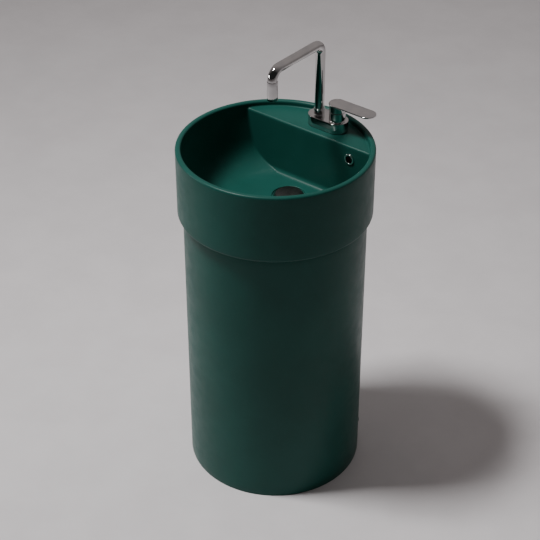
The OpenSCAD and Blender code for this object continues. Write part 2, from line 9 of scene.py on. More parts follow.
import bmesh
import bpy
import numpy as np
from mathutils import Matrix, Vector

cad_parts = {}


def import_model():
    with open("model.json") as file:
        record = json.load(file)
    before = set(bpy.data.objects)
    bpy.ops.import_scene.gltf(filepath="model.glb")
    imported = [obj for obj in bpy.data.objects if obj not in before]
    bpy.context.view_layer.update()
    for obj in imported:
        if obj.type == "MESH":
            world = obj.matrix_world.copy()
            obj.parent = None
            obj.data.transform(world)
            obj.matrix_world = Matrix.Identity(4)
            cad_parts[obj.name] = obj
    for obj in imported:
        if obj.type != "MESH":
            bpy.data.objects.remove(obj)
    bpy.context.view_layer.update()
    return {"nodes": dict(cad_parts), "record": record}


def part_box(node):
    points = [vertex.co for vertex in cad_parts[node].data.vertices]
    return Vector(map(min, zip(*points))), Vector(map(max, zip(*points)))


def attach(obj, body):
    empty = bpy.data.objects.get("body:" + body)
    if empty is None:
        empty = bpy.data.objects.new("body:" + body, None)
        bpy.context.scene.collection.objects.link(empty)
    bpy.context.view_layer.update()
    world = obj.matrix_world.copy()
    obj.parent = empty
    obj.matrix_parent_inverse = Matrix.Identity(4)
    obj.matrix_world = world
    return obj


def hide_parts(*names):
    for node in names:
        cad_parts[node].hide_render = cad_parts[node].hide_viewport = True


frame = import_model()
MM = 0.001
CREASE = 35
TAU = 2 * math.pi

# ---------- sizes ----------

def box_mm(node):
    """Lowest and highest corners of a CAD node, in millimetres."""
    low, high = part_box(node)
    return np.array(low) / MM, np.array(high) / MM


basin_lo, basin_hi = box_mm("basin")
RIM_Z = basin_hi[2]
SEAT_Z = basin_lo[2]
BASIN_R = basin_hi[0]
PED_R = box_mm("pedestal")[1][0]
PED_H = box_mm("pedestal")[1][2]
PED_WALL = 10.0
RIM_IN = 208.0
DECK_Z = box_mm("tap_gasket")[0][2]
DECK_Y = 115.0
EDGE = 5.0
FLOOR_Z = RIM_Z - 151.0
ROUND_R = 80.7
ROUND_C = 118.4
ROUND_Z = FLOOR_Z + ROUND_R
WALL_FOOT = (ROUND_C + ROUND_R * math.cos(math.radians(11)), ROUND_Z - ROUND_R * math.sin(math.radians(11)))
LIP_FOOT_Z = RIM_Z - 30
DECK_FILLET = 12.0
CORNER_R = 7.0
DRAIN = (0.0, (box_mm("waste_cap")[0][1] + box_mm("waste_cap")[1][1]) / 2)
RECESS_R = 39.0
RECESS_Z = FLOOR_Z - 4
HOLE_R = 22.0
cap_lo, cap_hi = box_mm("waste_cap")
flange_lo, flange_hi = box_mm("waste_body")
ring_lo, ring_hi = box_mm("overflow_ring")
RING_C = (ring_lo + ring_hi) / 2
tap_lo, tap_hi = box_mm("tap_body")
TAP_R = (tap_hi[1] - tap_lo[1]) / 2
TAP_Y = (tap_hi[1] + tap_lo[1]) / 2
LEVER_X = tap_hi[0] - TAP_R
COLLAR_H = 14.0
TAP_TOP = box_mm("spout_collar")[1][2] - COLLAR_H
plate_lo, plate_hi = box_mm("lever_plate")
hub_lo, hub_hi = box_mm("lever_hub")
HUB_R = (hub_hi[0] - hub_lo[0]) / 2
DOME_RISE = 5.0
DOME_R = math.hypot(HUB_R, DOME_RISE)
DOME_GAP = 0.3
HUB_DEPTH = 2.8
PIVOT_Z = plate_lo[2] - HUB_DEPTH - DOME_R - DOME_GAP
SPLIT_Z = PIVOT_Z + DOME_RISE
tube_lo, tube_hi = box_mm("spout_tube")
SPOUT_R = tube_hi[0]
ARM_Z = tube_hi[2] - SPOUT_R
RISER_BEND = 20.0
TIP_BEND = 23.0
TIP_Y = tube_lo[1] + SPOUT_R
sleeve_lo, sleeve_hi = box_mm("aerator_sleeve")
COLLAR_R = SPOUT_R + 1.4
HATCH_GAP = 1.5
HATCH_CORNER = 22.0
OVERFLOW_R = 11.0


# ---------- mesh tools ----------

def arc(cx, cz, r, a0, a1, n):
    """Points on an arc in (radius, height), from angle a0 to a1 in degrees."""
    return [(cx + r * math.cos(a), cz + r * math.sin(a)) for a in np.radians(np.linspace(a0, a1, n))]


def to_object(name, verts, faces, material):
    """Makes a mesh object in metres, welded and smooth, with its creases kept sharp."""
    mesh = bpy.data.meshes.new(name)
    mesh.from_pydata([tuple(v) for v in np.asarray(verts) * MM], [], faces)
    bm = bmesh.new()
    bm.from_mesh(mesh)
    bmesh.ops.remove_doubles(bm, verts=bm.verts, dist=2e-6)
    bmesh.ops.dissolve_degenerate(bm, edges=bm.edges, dist=2e-6)
    bmesh.ops.recalc_face_normals(bm, faces=bm.faces)
    for f in bm.faces:
        f.smooth = True
    bm.to_mesh(mesh)
    bm.free()
    mesh.set_sharp_from_angle(angle=math.radians(CREASE))
    mesh.materials.append(material)
    obj = bpy.data.objects.new(name, mesh)
    bpy.context.scene.collection.objects.link(obj)
    return obj


def skin(loops, closed=True):
    """Faces between successive loops of equal length; closed joins the last loop to the first."""
    n = len(loops[0])
    verts = np.concatenate(loops)
    faces = []
    rows = len(loops) if closed else len(loops) - 1
    for i in range(rows):
        a, b = i * n, ((i + 1) % len(loops)) * n
        for j in range(n):
            k = (j + 1) % n
            faces.append((a + j, a + k, b + k, b + j))
    return verts, faces


def lathe(name, profile, centre, material, n=128, closed=True, along_y=False):
    """Turns a profile of (radius, height) about an upright axis, or about one along Y."""
    angles = np.linspace(0, TAU, n, endpoint=False)
    loops = []
    for r, h in profile:
        ring = np.stack([r * np.cos(angles), r * np.sin(angles), np.full(n, h)], axis=1)
        if along_y:
            ring = np.stack([ring[:, 0], -ring[:, 2], ring[:, 1]], axis=1)
        loops.append(ring + np.array(centre))
    verts, faces = skin(loops, closed)
    return to_object(name, verts, faces, material)


def stadium_loop(length, r, z, centre, n=160):
    """Outline of a stadium that starts round centre and runs along +X."""
    half = n // 2
    left = np.linspace(math.pi / 2, 3 * math.pi / 2, half)
    right = np.linspace(-math.pi / 2, math.pi / 2, half)
    xs = np.concatenate([r * np.cos(left), length + r * np.cos(right)])
    ys = np.concatenate([r * np.sin(left), r * np.sin(right)])
    return np.stack([xs + centre[0], ys + centre[1], np.full(len(xs), z)], axis=1)


def with_caps(verts, faces, n, loops):
    """Adds one flat face at each end of an open skin."""
    faces.append(tuple(range(n))[::-1])
    faces.append(tuple(range((loops - 1) * n, loops * n)))
    return verts, faces


def subtract(obj, cutter):
    """Cuts one closed mesh out of another and deletes the cutter."""
    cut = obj.modifiers.new(cutter.name, "BOOLEAN")
    cut.operation = "DIFFERENCE"
    cut.solver = "EXACT"
    cut.object = cutter
    bpy.context.view_layer.update()
    bpy.context.view_layer.objects.active = obj
    bpy.ops.object.modifier_apply(modifier=cut.name)
    bpy.data.objects.remove(cutter)


def ride(obj, body, node):
    """Rides on a body and stands for a CAD node, whose part it hides."""
    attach(obj, body)
    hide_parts(node)


# ---------- materials ----------

class Nodes:
    """Short helper that builds a material's node tree."""

    def __init__(self, name):
        self.material = bpy.data.materials.new(name)
        self.material.use_nodes = True
        self.tree = self.material.node_tree
        self.tree.nodes.clear()
        self.out = self.add("ShaderNodeOutputMaterial")
        self.shader = self.add("ShaderNodeBsdfPrincipled")
        self.link(self.shader.outputs[0], self.out.inputs[0])
        self.place = self.add("ShaderNodeTexCoord").outputs["Object"]

    def add(self, kind, **settings):
        node = self.tree.nodes.new(kind)
        for key, value in settings.items():
            setattr(node, key, value)
        return node

    def link(self, a, b):
        self.tree.links.new(a, b)

    def noise(self, scale, detail=3.0, rough=0.5, vector=None, distortion=0.0):
        node = self.add("ShaderNodeTexNoise")
        node.inputs["Scale"].default_value = scale
        node.inputs["Detail"].default_value = detail
        node.inputs["Roughness"].default_value = rough
        node.inputs["Distortion"].default_value = distortion
        self.link(vector or self.place, node.inputs["Vector"])
        return node.outputs["Fac"]

    def span(self, value, low, high, to_low, to_high):
        """Maps a value smoothly from one range to another, clamped."""
        node = self.add("ShaderNodeMapRange", interpolation_type="SMOOTHSTEP")
        for i, v in enumerate((low, high, to_low, to_high)):
            node.inputs[i + 1].default_value = v
        self.link(value, node.inputs[0])
        return node.outputs[0]

    def mix(self, factor, a, b):
        """Mixes two colours, given as tuples or sockets."""
        node = self.add("ShaderNodeMix", data_type="RGBA")
        self.link(factor, node.inputs[0])
        for socket, value in ((node.inputs[6], a), (node.inputs[7], b)):
            if isinstance(value, tuple):
                socket.default_value = (*value, 1)
            else:
                self.link(value, socket)
        return node.outputs[2]

    def math(self, operation, a, b=0.0):
        """One math node; b is a number or a socket."""
        node = self.add("ShaderNodeMath", operation=operation)
        self.link(a, node.inputs[0])
        if isinstance(b, float):
            node.inputs[1].default_value = b
        else:
            self.link(b, node.inputs[1])
        return node.outputs[0]

    def bump(self, height, distance, strength=1.0, normal=None):
        node = self.add("ShaderNodeBump")
        node.inputs["Strength"].default_value = strength
        node.inputs["Distance"].default_value = distance
        self.link(height, node.inputs["Height"])
        if normal is not None:
            self.link(normal, node.inputs["Normal"])
        return node.outputs[0]

    def finish(self, color, roughness, normal=None, **values):
        """Links the shader's sockets and sets the constant ones, named in lower case."""
        for key, socket in (("Base Color", color), ("Roughness", roughness), ("Normal", normal)):
            if socket is not None:
                self.link(socket, self.shader.inputs[key])
        for key, value in values.items():
            name = key.replace("_", " ").title().replace("Ior", "IOR")
            self.shader.inputs[name].default_value = value
        return self.material


def green_ceramic():
    """Satin green glaze: faint clouding, fine mottling, pinholes and a soft waviness."""
    m = Nodes("green_ceramic")
    clouds = m.noise(5, 4, 0.55)
    mottle = m.noise(160, 5, 0.6)
    color = m.mix(m.span(clouds, 0.35, 0.68, 0, 1), (0.0066, 0.063, 0.050), (0.0088, 0.075, 0.060))
    color = m.mix(m.span(mottle, 0.55, 0.8, 0, 0.45), color, (0.015, 0.092, 0.075))
    specks = m.noise(900, 2, 0.4)
    color = m.mix(m.span(specks, 0.70, 0.78, 0, 0.55), color, (0.004, 0.020, 0.016))
    rough = m.span(m.noise(38, 4, 0.6), 0.3, 0.7, 0.33, 0.42)
    waves = m.bump(m.noise(26, 1, 0.3), 0.00035, 0.35)
    peel = m.bump(m.noise(420, 2, 0.5), 0.00006, 0.6, waves)
    return m.finish(color, rough, peel, specular_ior_level=0.16)


def chrome():
    """Polished chrome with faint smears and dried droplets."""
    m = Nodes("chrome")
    smears = m.noise(60, 5, 0.6, distortion=0.6)
    rough = m.span(smears, 0.45, 0.75, 0.035, 0.13)
    tint = m.mix(m.span(m.noise(24, 3), 0.35, 0.7, 0, 1), (0.62, 0.61, 0.605), (0.54, 0.54, 0.545))
    normal = m.bump(m.noise(220, 2), 0.00002, 0.25)
    return m.finish(tint, rough, normal, metallic=1.0)


def turned(name, centre, dark, light, low, high, pitch=2600.0):
    """Metal with fine turned rings round an upright axis at centre, in metres."""
    m = Nodes(name)
    split = m.add("ShaderNodeSeparateXYZ")
    m.link(m.place, split.inputs[0])
    x = m.math("SUBTRACT", split.outputs[0], centre[0])
    y = m.math("SUBTRACT", split.outputs[1], centre[1])
    radius = m.math("SQRT", m.math("ADD", m.math("MULTIPLY", x, x), m.math("MULTIPLY", y, y)))
    join = m.add("ShaderNodeCombineXYZ")
    m.link(m.math("MULTIPLY", radius, pitch), join.inputs[0])
    rings = m.noise(1.0, 4, 0.7, vector=join.outputs[0])
    stains = m.noise(45, 4, 0.6)
    color = m.mix(m.span(stains, 0.35, 0.7, 0, 1), dark, light)
    rough = m.span(rings, 0.3, 0.7, low, high)
    return m.finish(color, rough, m.bump(rings, 0.00004, 0.5), metallic=1.0)


def plated(name, base, patch, low, high, scale=80.0):
    """Plated or raw metal with cloudy patches and fine scratches."""
    m = Nodes(name)
    color = m.mix(m.span(m.noise(scale, 5, 0.65), 0.4, 0.7, 0, 1), base, patch)
    stretch = m.add("ShaderNodeMapping")
    stretch.inputs["Scale"].default_value = (1, 1, 14)
    m.link(m.place, stretch.inputs[0])
    scratches = m.noise(700, 2, 0.5, vector=stretch.outputs[0])
    rough = m.span(scratches, 0.3, 0.7, low, high)
    return m.finish(color, rough, m.bump(scratches, 0.00003, 0.4), metallic=1.0)


def moulded(name, base, shade, low, high, grain=1400.0):
    """Moulded plastic or rubber with a fine grain."""
    m = Nodes(name)
    color = m.mix(m.span(m.noise(70, 4, 0.6), 0.35, 0.7, 0, 1), base, shade)
    fine = m.noise(grain, 3, 0.6)
    return m.finish(color, m.span(fine, 0.3, 0.7, low, high), m.bump(fine, 0.00004, 0.5))


GREEN = green_ceramic()
CHROME = chrome()
DRAIN_M = (DRAIN[0] * MM, DRAIN[1] * MM)
SLOTS = {
    "green_ceramic": GREEN,
    "chrome": CHROME,
    "brushed_steel": turned("brushed_steel", DRAIN_M, (0.10, 0.098, 0.094), (0.16, 0.155, 0.15), 0.22, 0.5),
    "zinc_steel": plated("zinc_steel", (0.55, 0.56, 0.58), (0.42, 0.42, 0.43), 0.25, 0.5),
    "brass": plated("brass", (0.62, 0.42, 0.16), (0.42, 0.26, 0.09), 0.22, 0.45),
    "copper": plated("copper", (0.62, 0.28, 0.15), (0.38, 0.15, 0.08), 0.25, 0.5, 30),
    "black_rubber": moulded("black_rubber", (0.018, 0.018, 0.018), (0.035, 0.034, 0.032), 0.6, 0.8),
    "white_plastic": moulded("white_plastic", (0.66, 0.66, 0.62), (0.56, 0.56, 0.52), 0.35, 0.5),
    "trap_chrome": plated("trap_chrome", (0.66, 0.67, 0.68), (0.5, 0.5, 0.51), 0.12, 0.3, 50),
    "grey_plastic": moulded("grey_plastic", (0.035, 0.035, 0.037), (0.06, 0.06, 0.062), 0.4, 0.6),
}


def dress_cad_nodes():
    """Gives every CAD node its slot's material."""
    slot_of = {s["node"]: s["material_slot"] for s in frame["record"]["subparts"]}
    for name, obj in frame["nodes"].items():
        if not obj.material_slots:
            obj.data.materials.append(None)
        for slot in obj.material_slots:
            slot.material = SLOTS[slot_of[name]]


# ---------- basin ----------

ANGLES = np.linspace(0, TAU, 720, endpoint=False)
RAYS = np.stack([np.cos(ANGLES), np.sin(ANGLES)], axis=1)


def far_hit(centre, radius):
    """How far each ray from the drain goes before it leaves a circle; NaN where it misses."""
    to = np.array(DRAIN) - np.array(centre)
    b = RAYS @ to
    root = b * b - (to @ to - radius * radius)
    return np.where(root > 0, -b + np.sqrt(np.maximum(root, 0)), np.nan)


def d_reach(radius, line_y, corner=CORNER_R):
    """How far each ray goes inside the round bowl in front of the deck wall, with rounded corners."""
    along_circle = far_hit((0, 0), radius)
    with np.errstate(divide="ignore"):
        along_line = np.where(RAYS[:, 1] > 1e-6, (line_y - DRAIN[1]) / RAYS[:, 1], np.inf)
    reach = np.minimum(along_circle, along_line)
    cy = line_y - corner
    cx = math.sqrt((radius - corner) ** 2 - cy ** 2)
    start = math.atan2(cy, cx)
    for side in (1, -1):
        t = far_hit((side * cx, cy), corner)
        x = DRAIN[0] + t * RAYS[:, 0] - side * cx
        y = DRAIN[1] + t * RAYS[:, 1] - cy
        turn = np.arctan2(y, side * x)
        reach = np.where((turn >= start) & (turn <= math.pi / 2), t, reach)
    return reach


def at(reach, z):
    """Loop of points at those distances from the drain."""
    flat = np.array(DRAIN) + RAYS * np.asarray(reach)[:, None]
    return np.column_stack([flat, np.broadcast_to(z, len(flat))])


def wall_r(z):
    """Radius of the bowl's wall at a height: lip, taper, then one large round."""
    if z >= LIP_FOOT_Z:
        return RIM_IN
    if z >= WALL_FOOT[1]:
        t = (LIP_FOOT_Z - z) / (LIP_FOOT_Z - WALL_FOOT[1])
        return RIM_IN + t * (WALL_FOOT[0] - RIM_IN)
    return ROUND_C + math.sqrt(max(ROUND_R ** 2 - (ROUND_Z - z) ** 2, 0))


def soft_wall_r(z):
    """The wall's radius, with the bend under the lip eased over a few millimetres."""
    ease = min(9.0, max(z - WALL_FOOT[1], 0))
    return np.mean([wall_r(z + d) for d in np.linspace(-ease, ease, 9)])


def deck_wall_y(z):
    """Place of the deck's front wall at a height, with its rounded edge and foot."""
    below_top = DECK_Z - z
    above_floor = z - FLOOR_Z
    if below_top < EDGE:
        return DECK_Y + EDGE - math.sqrt(EDGE ** 2 - (EDGE - below_top) ** 2)
    if above_floor < DECK_FILLET:
        return DECK_Y - DECK_FILLET + math.sqrt(DECK_FILLET ** 2 - (DECK_FILLET - above_floor) ** 2)
    return DECK_Y


def bowl_levels():
    """Heights of the bowl's loops, close together where the wall bends."""
    edge = [DECK_Z - EDGE * (1 - math.cos(a)) for a in np.radians(np.linspace(0, 90, 9))]
    wall = list(np.arange(DECK_Z - EDGE - 3, WALL_FOOT[1], -3.5))
    round_ = [ROUND_Z - ROUND_R * math.sin(a) for a in np.radians(np.linspace(11, 90, 34))]
    return edge + wall + round_


def basin():
    """One closed skin: rim, lip, deck, bowl, drain recess, underside and outer band."""
    loops = []

    def circle(r, z, centre=(0, 0)):
        loops.append(at(far_hit(centre, r), z))

    wobble = 0.25 * np.sin(2 * ANGLES + 0.6) + 0.15 * np.sin(5 * ANGLES + 2.1)
    # rim, from its top to the lip
    for r, z in arc(BASIN_R - EDGE, RIM_Z - EDGE, EDGE, 20, 90, 8):
        circle(r, z)
    for r, z in arc(RIM_IN + EDGE, RIM_Z - EDGE, EDGE, 90, 180, 11):
        circle(r, z)
    # lip, with a small round where it meets the deck
    lip = far_hit((0, 0), RIM_IN)
    top = d_reach(RIM_IN, deck_wall_y(DECK_Z))
    small = np.minimum(3.0, 0.5 * (lip - top))
    loops.append(at(lip, DECK_Z + 3.2))
    for a in np.radians(np.linspace(0, 90, 6)):
        loops.append(at(lip - small * (1 - math.cos(a)), DECK_Z + small * (1 - math.sin(a))))
    # deck
    for t in np.linspace(0, 1, 14)[1:]:
        loops.append(at((1 - t) * (lip - small) + t * top, DECK_Z))
    # deck edge, wall and bowl
    for z in bowl_levels()[1:]:
        reach = d_reach(soft_wall_r(z), deck_wall_y(z))
        loops.append(at(reach + wobble * min(1, (DECK_Z - z) / 30) * min(1, (z - FLOOR_Z) / 30), z))
    # floor, with a slight fall to the drain
    foot = d_reach(ROUND_C, deck_wall_y(FLOOR_Z))
    fall = 0.8
    rim = RECESS_R + 1.5
    for t in np.linspace(0, 1, 10)[1:]:
        loops.append(at((1 - t) * foot + t * rim, FLOOR_Z - fall * t * t))
    for r, z in arc(rim, FLOOR_Z - fall - 1.5, 1.5, 90, 180, 7)[1:]:
        circle(r, z, DRAIN)
    for r, z in arc(RECESS_R - 1, RECESS_Z + 1, 1, 0, -90, 5):
        circle(r, z, DRAIN)
    circle(HOLE_R, RECESS_Z, DRAIN)
    circle(HOLE_R, SEAT_Z, DRAIN)
    # underside: a groove under the round of the bowl, then the seat
    for r, up in ((128, 0), (140, 2.5), (160, 11), (180, 24), (195, 40), (195, 0)):
        circle(r, SEAT_Z + up)
    # outer band
    for r, z in arc(BASIN_R - EDGE, SEAT_Z + EDGE, EDGE, -90, 0, 10):
        circle(r, z)
    for t in np.linspace(0, 1, 12)[1:]:
        circle(BASIN_R, SEAT_Z + EDGE + t * (RIM_Z - SEAT_Z - 2 * EDGE))
    for r, z in arc(BASIN_R - EDGE, RIM_Z - EDGE, EDGE, 10, 10, 1):
        circle(r, z)
    verts, faces = skin(loops)
    obj = to_object("basin_skin", verts, faces, GREEN)
    drill_overflow(obj)
    ride(obj, "stand", "basin")


def drill_overflow(obj):
    """Cuts the overflow's blind hole into the deck wall."""
    drill = lathe("overflow_drill", [(0, -22), (OVERFLOW_R, -22), (OVERFLOW_R, 12), (0, 12)],
                  (RING_C[0], DECK_Y, RING_C[2]), GREEN, n=48, closed=False, along_y=True)
    subtract(obj, drill)


# ---------- pedestal ----------

def pedestal():
    """Straight tube with a slightly eased foot and top, and the service window cut through its back."""
    profile = [(PED_R - PED_WALL, 0.0)]
    profile += arc(PED_R - 0.8, 0.8, 0.8, -90, 0, 4)
    profile += [(PED_R, z) for z in np.linspace(0.8, PED_H - 2, 40)[1:]]
    profile += arc(PED_R - 2, PED_H - 2, 2, 0, 90, 5)[1:]
    profile += [(PED_R - PED_WALL, PED_H)]
    profile += [(PED_R - PED_WALL, z) for z in np.linspace(PED_H, 0, 24)[1:-1]]
    obj = lathe("pedestal_shell", profile, (0, 0, 0), GREEN, n=360)
    cut_window(obj)
    ride(obj, "stand", "pedestal")


def window_outline():
    """Rounded rectangle of the service window, as (x, z)."""
    lo, hi = box_mm("access_cover")
    w, z0, z1 = hi[0] + HATCH_GAP, lo[2] - HATCH_GAP, hi[2] + HATCH_GAP
    r = HATCH_CORNER
    points = []
    for cx, cz, a in ((w - r, z1 - r, 0), (r - w, z1 - r, 90), (r - w, z0 + r, 180), (w - r, z0 + r, 270)):
        points += arc(cx, cz, r, a, a + 90, 12)
    return points


def cut_window(obj):
    """Cuts the service window."""
    outline = window_outline()
    loops = [np.array([(x, y, z) for x, z in outline]) for y in (PED_R - 40, PED_R + 20)]
    verts, faces = with_caps(*skin(loops, closed=False), len(outline), 2)
    subtract(obj, to_object("window_cutter", verts, faces, GREEN))


# ---------- overflow and waste ----------

def overflow_ring():
    """Polished ring with a rolled edge and a short barrel."""
    depth = 2.4
    profile = [(8.8, -18), (8.8, depth - 0.9)]
    profile += arc(9.7, depth - 0.9, 0.9, 180, 90, 6)
    profile += arc(11.3, depth - 1.4, 1.4, 90, 0, 8)
    profile += [(12.7, 0.0), (10.6, 0.0), (10.6, -18)]
    obj = lathe("overflow_trim", profile, (RING_C[0], DECK_Y, RING_C[2]), CHROME, n=96, along_y=True)
    ride(obj, "stand", "overflow_ring")


def waste_flange():
    """Flange in the drain recess with a raised inner edge, and the tail below it."""
    z = flange_hi[2]
    profile = [(18.2, flange_lo[2]), (18.2, z - 0.8)]
    profile += arc(19.0, z - 0.8, 0.8, 180, 90, 5)
    profile += [(28, z), (29, z - 0.35), (33, z - 0.35)]
    profile += arc(34.6, z - 1.4, 1.4, 75, 0, 7)
    profile += [(36, z - 2.2), (20.5, z - 2.2), (20.5, flange_lo[2])]
    obj = lathe("waste_flange", profile, (*DRAIN, 0), CHROME, n=128)
    ride(obj, "stand", "waste_body")


def waste_cap():
    """Shallow domed cap with a rounded edge and a flat underside."""
    r = (cap_hi[0] - cap_lo[0]) / 2
    z0, z1 = cap_lo[2], cap_hi[2]
    edge_z = z1 - 2.0
    profile = [(0, z1)]
    profile += [(q, z1 - 1.7 * (q / r) ** 2) for q in np.linspace(2, r - 1.6, 14)]
    profile += arc(r - 1.3, edge_z - 0.95, 1.3, 75, 0, 7)
    profile += [(r, z0 + 0.6), (r - 0.6, z0), (0, z0)]
    obj = lathe("waste_cap_top", profile, (*DRAIN, 0), SLOTS["brushed_steel"], n=144, closed=False)
    ride(obj, "waste_plug", "waste_cap")


# ---------- tap ----------

def tap_base():
    """Pill-shaped base and the turret on it, as one casting."""
    z0, z1 = tap_lo[2], TAP_TOP
    e = 1.2
    centre = (LEVER_X, TAP_Y)
    n = 320
    turns = np.linspace(0, TAU, n, endpoint=False)
    rays = np.stack([np.cos(turns), np.sin(turns)], axis=1)

    def pill(r, z):
        """Outline of the pill by rays from the turret's axis."""
        side = np.where(np.abs(rays[:, 1]) > 1e-9, r / np.maximum(np.abs(rays[:, 1]), 1e-9), np.inf)
        x = side * rays[:, 0]
        back = -LEVER_X * rays[:, 0]
        far_end = back + np.sqrt(np.maximum(back ** 2 - LEVER_X ** 2 + r * r, 0))
        reach = np.where(rays[:, 0] > 0, r, np.where(x > -LEVER_X, side, far_end))
        return np.column_stack([rays * reach[:, None] + centre, np.full(n, z)])

    def round_(r, z):
        return np.column_stack([rays * r + centre, np.full(n, z)])

    loops = [pill(TAP_R - 0.5, z0), pill(TAP_R, z0 + 0.5)]
    loops += [pill(TAP_R, z) for z in np.linspace(z0 + 0.5, z1 - e, 6)[1:]]
    loops += [pill(r, z) for r, z in arc(TAP_R - e, z1 - e, e, 0, 90, 8)[1:]]
    inner, outer = round_(HUB_R + 0.6, z1), loops[-1]
    loops += [outer + (inner - outer) * t for t in np.linspace(0, 1, 7)[1:]]
    loops += [round_(HUB_R + 0.6 - r, z1 + z) for r, z in ((0.35, 0.1), (0.6, 0.6))]
    loops += [round_(HUB_R, z) for z in np.linspace(z1 + 0.6, SPLIT_Z - 0.6, 5)[1:]]
    loops += [round_(r, z) for r, z in arc(HUB_R - 0.5, SPLIT_Z - 0.55, 0.5, 0, 90, 5)]
    loops += [round_(15.4, SPLIT_Z - 0.05)]
    verts, faces = with_caps(*skin(loops, closed=False), n, len(loops))
    obj = to_object("tap_casting", verts, faces, CHROME)
    ride(obj, "stand", "tap_body")


def turret_dome():
    """Ball cover that the lever's hub slides over."""
    top = math.degrees(math.acos(12.5 / DOME_R))
    low = math.degrees(math.asin(DOME_RISE / DOME_R))
    inner_r = 16.2
    inner_low = math.degrees(math.asin(DOME_RISE / inner_r))
    inner_top = math.degrees(math.acos(12.5 / inner_r))
    profile = arc(0, PIVOT_Z, DOME_R - 0.02, low, top, 24)
    profile += arc(0, PIVOT_Z, inner_r, inner_top, inner_low, 16)
    obj = lathe("turret_ball", profile, (LEVER_X, TAP_Y, 0), CHROME, n=128)
    ride(obj, "stand", "turret_dome")


def lever_hub():
    """Hub that carries the lever: a drum with a hollow ball seat under it."""
    inner = DOME_R + DOME_GAP
    base = math.sqrt(inner ** 2 - HUB_R ** 2)
    top_z = plate_lo[2]
    seat = [(r, z) for r, z in arc(0, PIVOT_Z, inner, math.degrees(math.atan2(base, HUB_R)) + 1.2, 80, 24)]
    profile = seat + [(0, seat[-1][1] + 0.3), (0, top_z)]
    profile += [(HUB_R, top_z)]
    profile += [(HUB_R, z) for z in np.linspace(top_z, PIVOT_Z + base + 0.5, 5)[1:]]
    obj = lathe("lever_drum", profile, (LEVER_X, TAP_Y, 0), CHROME, n=128)
    ride(obj, "lever", "lever_hub")


def lever_plate():
    """Flat round-ended plate with softly rolled edges and a barely dished top."""
    r = (plate_hi[1] - plate_lo[1]) / 2
    length = plate_hi[0] - plate_lo[0] - 2 * r
    z0, z1 = plate_lo[2], plate_hi[2]
    e = 1.3
    centre = (LEVER_X, TAP_Y)
    profile = [(r - 12, z0), (r - e, z0)]
    profile += arc(r - e, z0 + e, e, -90, 0, 7)[1:]
    profile += arc(r - e, z1 - e, e, 0, 90, 7)
    profile += [(r - 4, z1 - 0.02), (r - 9, z1 - 0.08), (r - 14, z1 - 0.12)]
    loops = [stadium_loop(length, q, z, centre) for q, z in profile]
    verts, faces = with_caps(*skin(loops, closed=False), len(loops[0]), len(loops))
    obj = to_object("lever_blade", verts, faces, CHROME)
    ride(obj, "lever", "lever_plate")


def spout_points():
    """Centre line of the spout in (y, z), with a direction at each point."""
    points = [(TAP_Y, z) for z in np.linspace(TAP_TOP - 17, ARM_Z - RISER_BEND, 12)]
    points += arc(TAP_Y - RISER_BEND, ARM_Z - RISER_BEND, RISER_BEND, 0, 90, 22)[1:]
    points += [(y, ARM_Z) for y in np.linspace(TAP_Y - RISER_BEND, TIP_Y + TIP_BEND, 12)[1:]]
    points += arc(TIP_Y + TIP_BEND, ARM_Z - TIP_BEND, TIP_BEND, 90, 180, 26)[1:]
    points += [(TIP_Y, z) for z in np.linspace(ARM_Z - TIP_BEND, sleeve_lo[2] + 16, 5)[1:]]
    return np.array(points)


def spout_tube():
    """Bent tube with an open bore, swept in its own plane."""
    path = spout_points()
    along = np.gradient(path, axis=0)
    along /= np.linalg.norm(along, axis=1)[:, None]
    across = np.column_stack([-along[:, 1], along[:, 0]])
    turns = np.linspace(0, TAU, 96, endpoint=False)

    def ring(i, r):
        side = r * np.sin(turns)
        yz = path[i] + across[i] * side[:, None]
        return np.column_stack([r * np.cos(turns), yz])

    bore = SPOUT_R - 1.5
    loops = [ring(i, SPOUT_R) for i in range(len(path))]
    loops += [ring(i, bore) for i in range(len(path) - 1, -1, -1)]
    verts, faces = skin(loops)
    obj = to_object("spout_pipe", verts, faces, CHROME)
    ride(obj, "spout", "spout_tube")


def spout_collar():
    """Polished collar at the foot of the riser."""
    z = TAP_TOP
    top = z + COLLAR_H
    bore = SPOUT_R + 0.05
    profile = [(bore, z), (COLLAR_R + 0.5, z), (COLLAR_R + 0.15, z + 0.2), (COLLAR_R, z + 0.6)]
    profile += [(COLLAR_R, q) for q in np.linspace(z + 0.6, top - 1, 4)[1:]]
    profile += arc(COLLAR_R - 1, top - 1, 1, 0, 80, 6)[1:]
    profile += [(bore, top)]
    obj = lathe("spout_ferrule", profile, (0, TAP_Y, 0), CHROME, n=112)
    ride(obj, "stand", "spout_collar")


def aerator_sleeve():
    """Sleeve at the spout's tip, with an open mouth."""
    r = (sleeve_hi[0] - sleeve_lo[0]) / 2
    z0, z1 = sleeve_lo[2], sleeve_hi[2]
    profile = arc(r - 0.8, z0 + 0.8, 0.8, -90, 0, 6)
    profile += [(r, z) for z in np.linspace(z0 + 0.8, z1 - 0.6, 5)[1:]]
    profile += arc(r - 0.6, z1 - 0.6, 0.6, 0, 90, 5)[1:]
    profile += [(SPOUT_R + 0.1, z1), (SPOUT_R + 0.1, z0 + 4), (SPOUT_R - 0.6, z0 + 4)]
    profile += arc(SPOUT_R - 0.1, z0 + 0.5, 0.5, 180, 270, 4)
    obj = lathe("aerator_barrel", profile, (0, TIP_Y, 0), CHROME, n=112)
    ride(obj, "spout", "aerator_sleeve")


# ---------- stage, light and camera ----------

